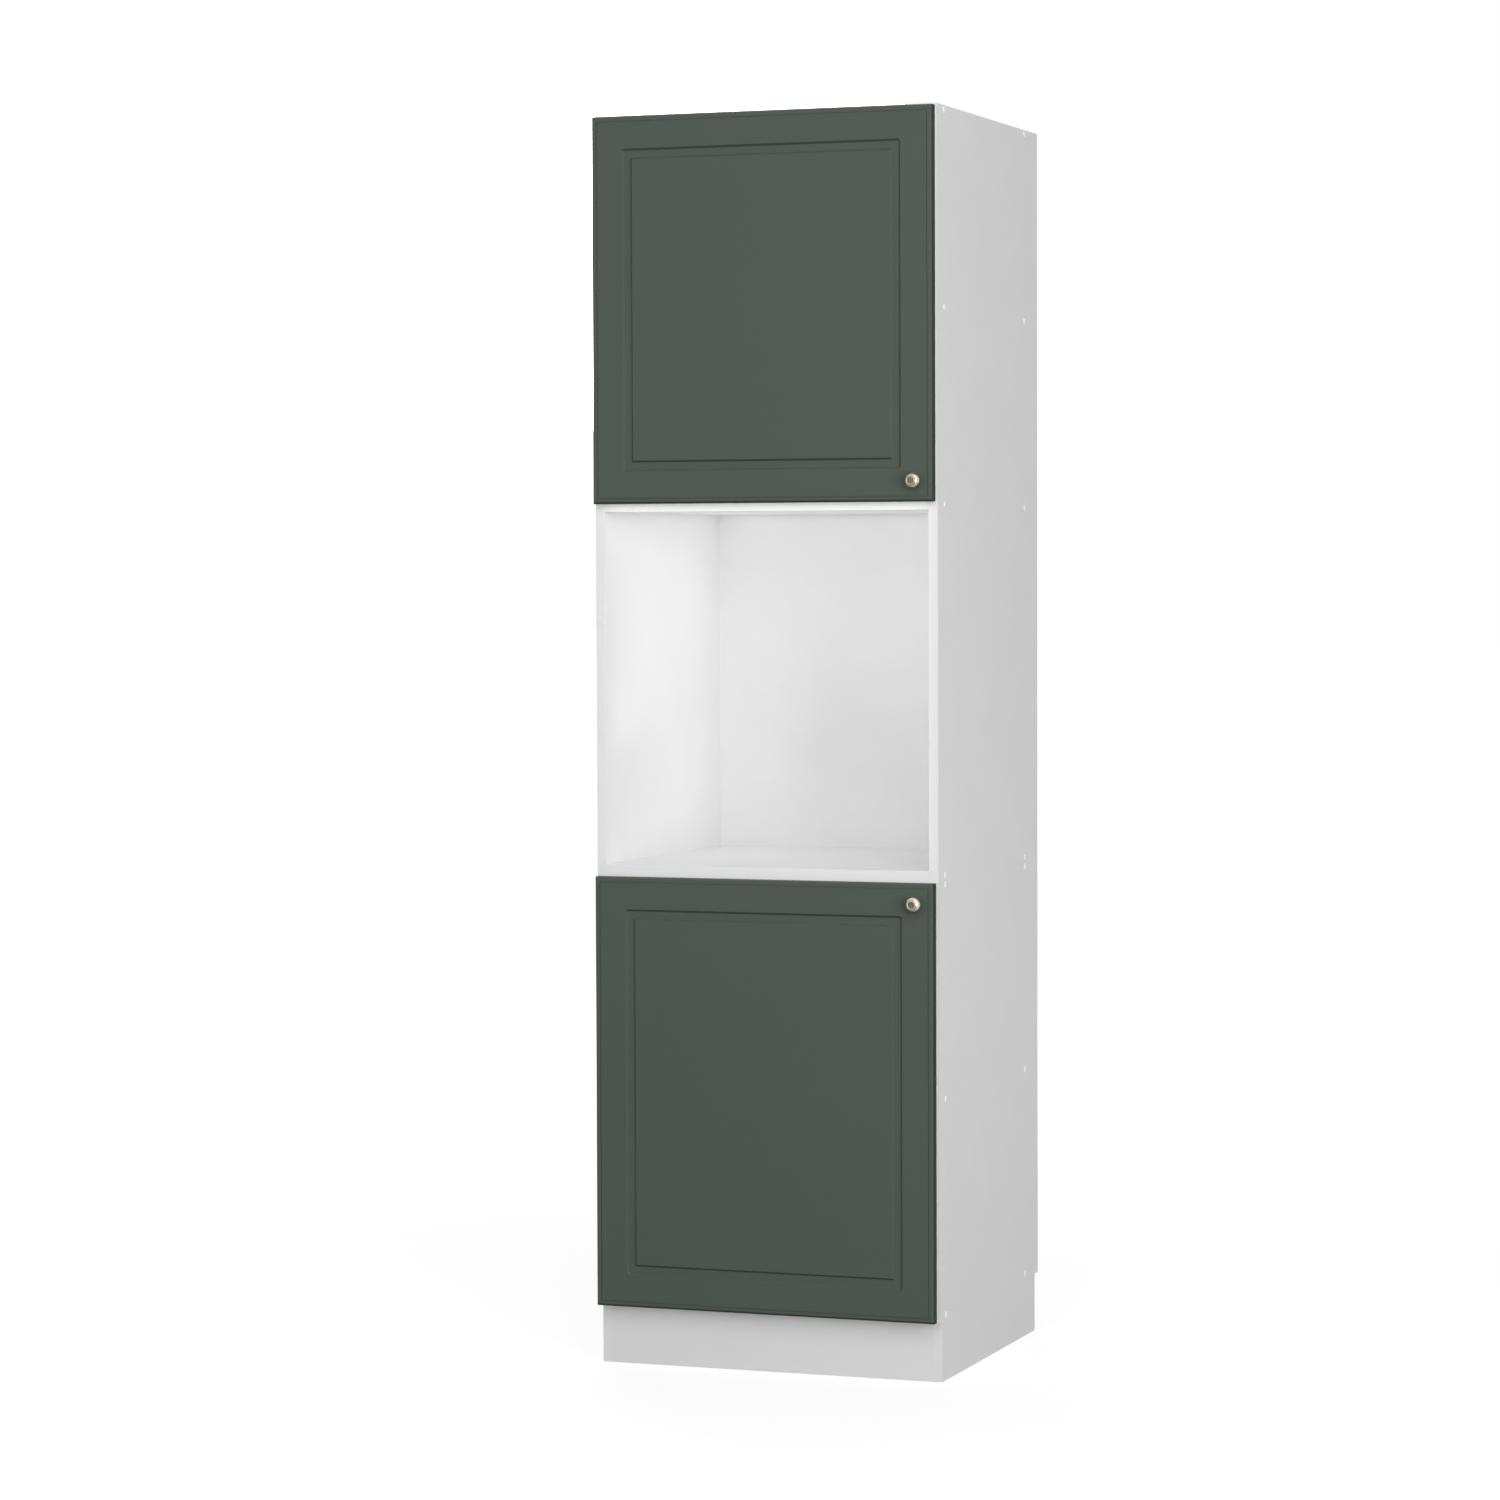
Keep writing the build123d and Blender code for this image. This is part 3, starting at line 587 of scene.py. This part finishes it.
def turned_faces(build, profile, turn, segments):
    """Turn a profile of (radius, height) points about the Z axis, then place it by turn."""
    rings = []
    for radius, height in profile:
        if radius == 0:
            rings.append([build.verts.new(turn @ Vector((0, 0, height)))])
            continue
        angles = [2 * pi * step / segments for step in range(segments)]
        ring = [Vector((radius * cos(a), radius * sin(a), height)) for a in angles]
        rings.append([build.verts.new(turn @ point) for point in ring])
    for low, high in zip(rings, rings[1:]):
        for step in range(segments):
            after = (step + 1) % segments
            if len(low) == 1:
                corners = (low[0], high[after], high[step])
            elif len(high) == 1:
                corners = (low[step], low[after], high[0])
            else:
                corners = (low[step], low[after], high[after], high[step])
            build.faces.new(corners).smooth = True


def arc(centre, radii, start, end, steps):
    """Points of an arc in a profile, from one angle in degrees to another."""
    points = []
    for step in range(steps + 1):
        angle = radians(start + (end - start) * step / steps)
        across = centre[0] + radii[0] * cos(angle)
        points.append((across, centre[1] + radii[1] * sin(angle)))
    return points


def knob_profile():
    """Radius and height in millimetres, from the foot to the middle of the sunk face."""
    flare = []
    for step in range(1, knob_flare_steps):
        angle = step / knob_flare_steps * pi / 2
        across = knob_neck[0] + knob_flare[0] * (1 - cos(angle))
        flare.append((across, knob_neck[1] + knob_flare[1] * sin(angle)))
    foot = [(0.0, 0.0), (6.6, 0.0)] + arc((6.6, 0.4), (0.4, 0.4), -60, 90, 4) + [(6.2, 1.2)]
    neck = arc((6.0, 2.2), (1.0, 1.0), -90, -180, 4) + [(5.0, 4.5), knob_neck] + flare
    rim = arc((12.05, 14.5), (0.7, 0.7), -75, 0, 4) + [(12.7, 14.9)]
    dome = arc(knob_dome_centre, knob_dome_radii, *knob_dome_angles, knob_dome_steps)
    groove = [(7.8, 21.75), (7.45, 21.8), (7.35, 22.3), (7.25, 22.8)]
    lip = arc((6.5, 22.9), (0.9, 0.9), 20, 110, 5) + [(5.95, 23.5), (5.8, 23.1)]
    face = [(5.6, 22.8), (3.0, 22.65), (0.0, 22.6)]
    return foot + neck + rim + dome + groove + lip + face


def make_knob(node):
    """A turned knob in place of the CAD knob, with its own axis for the lathe marks."""
    low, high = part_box(node)
    place = ((low.x + high.x) / 2, high.y, (low.z + high.z) / 2)
    build = bmesh.new()
    profile = [(radius * MM, height * MM) for radius, height in knob_profile()]
    turned_faces(build, profile, Matrix.Rotation(radians(90), 4, "X"), knob_segments)
    weld(build)
    new_piece(node + "_turned", build, ("knob_metal",), node, knob_crease, place)


def make_caps(node, side):
    """Softly domed screw caps on one side of the unit: -1 is the left side, 1 the right."""
    low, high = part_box(node)
    proud = side * (high.x if side > 0 else low.x) - outer_x - cap_gap
    profile = [
        (0.0, cap_gap),
        (cap_radius - cap_chamfer, cap_gap),
        (cap_radius, cap_gap + cap_chamfer),
    ]
    rounding_centre = (cap_radius - cap_rounding, proud - cap_dome - cap_rounding)
    profile += arc(rounding_centre, (cap_rounding, cap_rounding), 0, 80, 6)
    dome_radius = profile[-1][0]
    for step in range(1, cap_dome_rings + 1):
        share = 1 - step / cap_dome_rings
        profile.append((dome_radius * share, proud - cap_dome * share ** 2))
    build = bmesh.new()
    for low, high in islands(node):
        place = Vector((side * outer_x, (low.y + high.y) / 2, (low.z + high.z) / 2))
        turn = Matrix.Translation(place) @ Matrix.Rotation(side * radians(90), 4, "Y")
        turned_faces(build, profile, turn, cap_segments)
    new_piece(node + "_domed", build, ("cap_plastic",), node, cap_crease)


look["white_board"] = look["white_melamine"]
for name, node in nodes.items():
    node.data.materials[0] = look[slot_of_node[name]]

front_cut = (1, front_y + band_thickness)
toe_cut = (1, toe_y + band_thickness)
top_cut = (2, tower_top - band_thickness)
for name in ("lower_left_side", "lower_right_side"):
    make_board(name, 0, banded_side, (front_cut, toe_cut))
for name in ("upper_left_side", "upper_right_side"):
    make_board(name, 0, banded_side, (front_cut, top_cut))
for name in level_boards:
    make_board(name, 2, banded_level, (front_cut,))
make_board("plinth_board", 1, banded_plinth, ())
for name in ("lower_knob", "upper_knob"):
    make_knob(name)
make_caps("left_screw_caps", -1)
make_caps("right_screw_caps", 1)


# Staging
def seen_directly(shader):
    """One where a camera, mirror or glass ray asks, zero for the light that falls on the unit."""
    path = shader.node("LightPath").outputs
    mirrored = shader.math("MAXIMUM", path["Is Glossy Ray"], path["Is Transmission Ray"])
    return shader.math("MAXIMUM", path["Is Camera Ray"], mirrored)


def make_floor():
    """A pale floor that is seen as white paper with a faint shadow, and fades into the backdrop."""
    build = bmesh.new()
    bmesh.ops.create_grid(build, x_segments=1, y_segments=1, size=floor_half_size)
    mesh = bpy.data.meshes.new("floor")
    build.to_mesh(mesh)
    build.free()
    floor = bpy.data.objects.new("floor", mesh)
    bpy.context.scene.collection.objects.link(floor)
    s = Shader("floor_white")
    s.finish((floor_tone,) * 3 + (1,), 0.9, Specular_IOR_Level=0.1)
    away = s.node("VectorMath", {0: s.coordinates()}, operation="LENGTH").outputs["Value"]
    strength = s.spread(away, floor_glow, backdrop_level, *floor_fade)
    glow = s.node("Emission", {"Color": (1, 1, 1, 1), "Strength": strength}).outputs[0]
    paper = s.node("BsdfDiffuse", {"Color": (floor_shadow_share,) * 3 + (1,)}).outputs[0]
    shown = s.node("AddShader", {0: paper, 1: glow}).outputs[0]
    both = {0: seen_directly(s), 1: s.surface.outputs[0], 2: shown}
    s.tree.links.new(s.node("MixShader", both).outputs[0], s.output.inputs["Surface"])
    mesh.materials.append(s.material)


def make_world(ambient):
    """An even soft light, seen as a white backdrop."""
    world = bpy.data.worlds.new("studio")
    bpy.context.scene.world = world
    world.use_nodes = True
    tree = world.node_tree
    tree.nodes.clear()
    output = tree.nodes.new("ShaderNodeOutputWorld")
    background = tree.nodes.new("ShaderNodeBackground")
    background.inputs["Color"].default_value = (1, 1, 1, 1)
    path = tree.nodes.new("ShaderNodeLightPath").outputs
    seen = path["Is Camera Ray"]
    for other in ("Is Glossy Ray", "Is Transmission Ray"):
        either = tree.nodes.new("ShaderNodeMath")
        either.operation = "MAXIMUM"
        tree.links.new(seen, either.inputs[0])
        tree.links.new(path[other], either.inputs[1])
        seen = either.outputs[0]
    strength = tree.nodes.new("ShaderNodeMapRange")
    strength.inputs["To Min"].default_value = ambient
    strength.inputs["To Max"].default_value = backdrop_level
    tree.links.new(seen, strength.inputs["Value"])
    tree.links.new(strength.outputs[0], background.inputs["Strength"])
    tree.links.new(background.outputs[0], output.inputs["Surface"])


def make_lamp(name, place, target, size, power, spread=180.0, hidden=False, mirrored=True):
    """A soft rectangular lamp that shines from a place towards a target."""
    lamp = bpy.data.lights.new(name, "AREA")
    lamp.shape = "RECTANGLE"
    lamp.size, lamp.size_y = size
    lamp.energy = power
    lamp.spread = radians(spread)
    holder = bpy.data.objects.new(name, lamp)
    bpy.context.scene.collection.objects.link(holder)
    holder.location = place
    holder.rotation_euler = (Vector(target) - Vector(place)).to_track_quat("-Z", "Y").to_euler()
    holder.visible_camera = not hidden
    holder.visible_glossy = mirrored


def make_niche_lamps():
    """Small hidden lamps that fill the open niche, as a photographer would."""
    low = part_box("oven_shelf")[1].z
    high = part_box("niche_top")[0].z
    middle = Vector((0, 0, (low + high) / 2))
    for name, place, target, size, power, spread in niche_lamps:
        start = middle + Vector(place)
        end = middle + Vector(target)
        make_lamp(name, start, end, size, power, spread, hidden=True)


def make_camera():
    """The camera at the photograph's viewing angle."""
    lens = bpy.data.cameras.new("camera")
    lens.sensor_width = sensor_width_mm
    lens.lens = camera_focal_pixels / picture_pixels * sensor_width_mm
    lens.clip_start = 0.05
    lens.clip_end = 200.0
    camera = bpy.data.objects.new("camera", lens)
    bpy.context.scene.collection.objects.link(camera)
    camera.location = camera_place
    camera.rotation_euler = (radians(90 + camera_pitch), radians(camera_roll), radians(camera_yaw))
    bpy.context.scene.camera = camera


make_floor()
make_world(world_light)
for name, place, target, size, power in studio_lamps:
    make_lamp(name, place, target, (size, size), power, mirrored=name not in unmirrored_lamps)
make_niche_lamps()
make_camera()
bpy.context.scene.view_settings.view_transform = "Standard"
